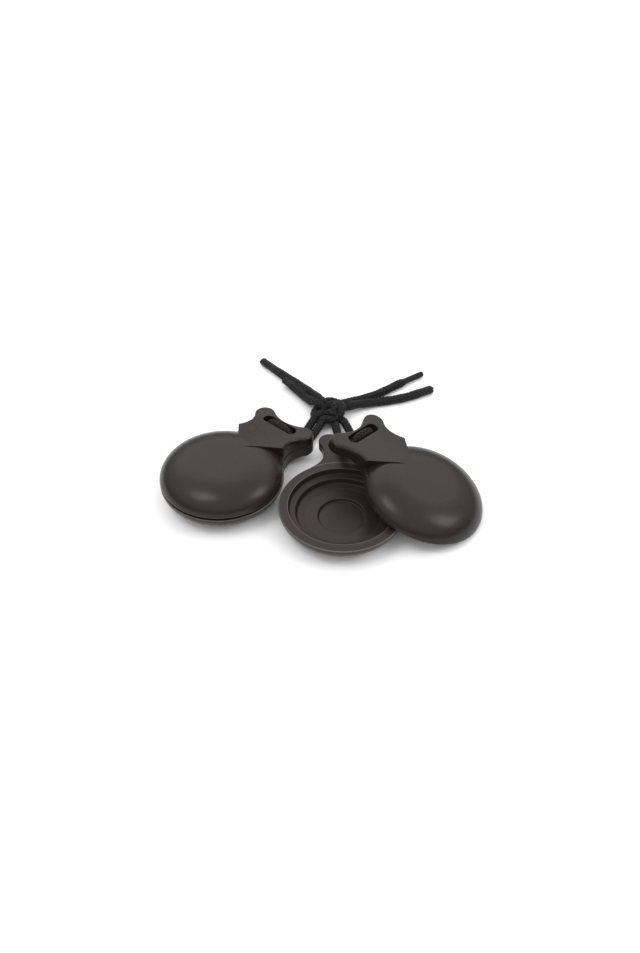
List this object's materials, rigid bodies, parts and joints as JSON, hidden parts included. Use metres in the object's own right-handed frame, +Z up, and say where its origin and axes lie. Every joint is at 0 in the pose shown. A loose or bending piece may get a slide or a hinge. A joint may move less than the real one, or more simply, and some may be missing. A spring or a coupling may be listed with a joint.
{
  "type": "pair of castanets",
  "caption": "Corded castanets with round hollowed shells and eared necks, tied together by a central knot, one closed and one fallen open.",
  "frame": {"origin": "Centre of the four shells' footprint, on the surface that they lie on.", "axes": "+Z up. +Y from the bowls towards the knot and its tails. +X towards the castanet that has fallen open."},
  "size_m": [0.1764, 0.1795, 0.0316],
  "materials": {
    "shell": "satin dark brown-black, polished by handling on the domes",
    "cord": "soft braided black cord",
    "sealed_tip": "braid stiffened and slightly shiny from glue"
  },
  "bodies": {
    "knot": {"knot": "cord", "left_long_tail": "cord", "left_short_tail": "cord", "right_upper_tail": "cord", "right_lower_tail": "cord", "left_long_tip": "sealed_tip", "left_short_tip": "sealed_tip", "right_upper_tip": "sealed_tip", "right_lower_tip": "sealed_tip"},
    "left_lower": {"left_lower_shell": "shell", "left_front_leg": "cord", "left_back_leg": "cord"},
    "left_loop": {"left_loop": "cord"},
    "left_upper": {"left_upper_shell": "shell"},
    "right_lower": {"right_lower_shell": "shell", "right_front_leg": "cord", "right_back_leg": "cord"},
    "right_loop": {"right_loop": "cord", "right_front_span": "cord", "right_back_span": "cord"},
    "right_upper": {"right_upper_shell": "shell"}
  },
  "joints": [
    {"name": "left_swing", "type": "hinge", "parent": "knot", "child": "left_lower", "pos_m": [0.0042, 0.0666, 0.006], "axis": [0, 0, 1], "range_deg": [-30, 0]},
    {"name": "left_swivel", "type": "hinge", "parent": "left_lower", "child": "left_loop", "pos_m": [-0.02398, 0.0372, 0.012], "axis": [0, 0, 1], "range_deg": [-60, 0]},
    {"name": "left_clap", "type": "hinge", "parent": "left_loop", "child": "left_upper", "pos_m": [-0.01787, 0.04448, 0.0121], "axis": [-0.766, 0.6428, 0], "range_deg": [-1, 24], "deforming": ["left_loop"]},
    {"name": "right_swing", "type": "hinge", "parent": "knot", "child": "right_lower", "pos_m": [0.0042, 0.0666, 0.006], "axis": [0, 0, 1], "range_deg": [0, 30]},
    {"name": "right_swivel", "type": "hinge", "parent": "right_lower", "child": "right_loop", "pos_m": [0.02142, 0.01994, 0.02118], "axis": [0, 0, 1], "range_deg": [0, 35], "deforming": ["right_front_span", "right_back_span"]},
    {"name": "right_clap", "type": "hinge", "parent": "right_loop", "child": "right_upper", "pos_m": [0.01468, 0.02623, 0.02347], "axis": [-0.6462, -0.748, 0.1518], "range_deg": [0, 22], "deforming": ["right_loop"]}
  ]
}
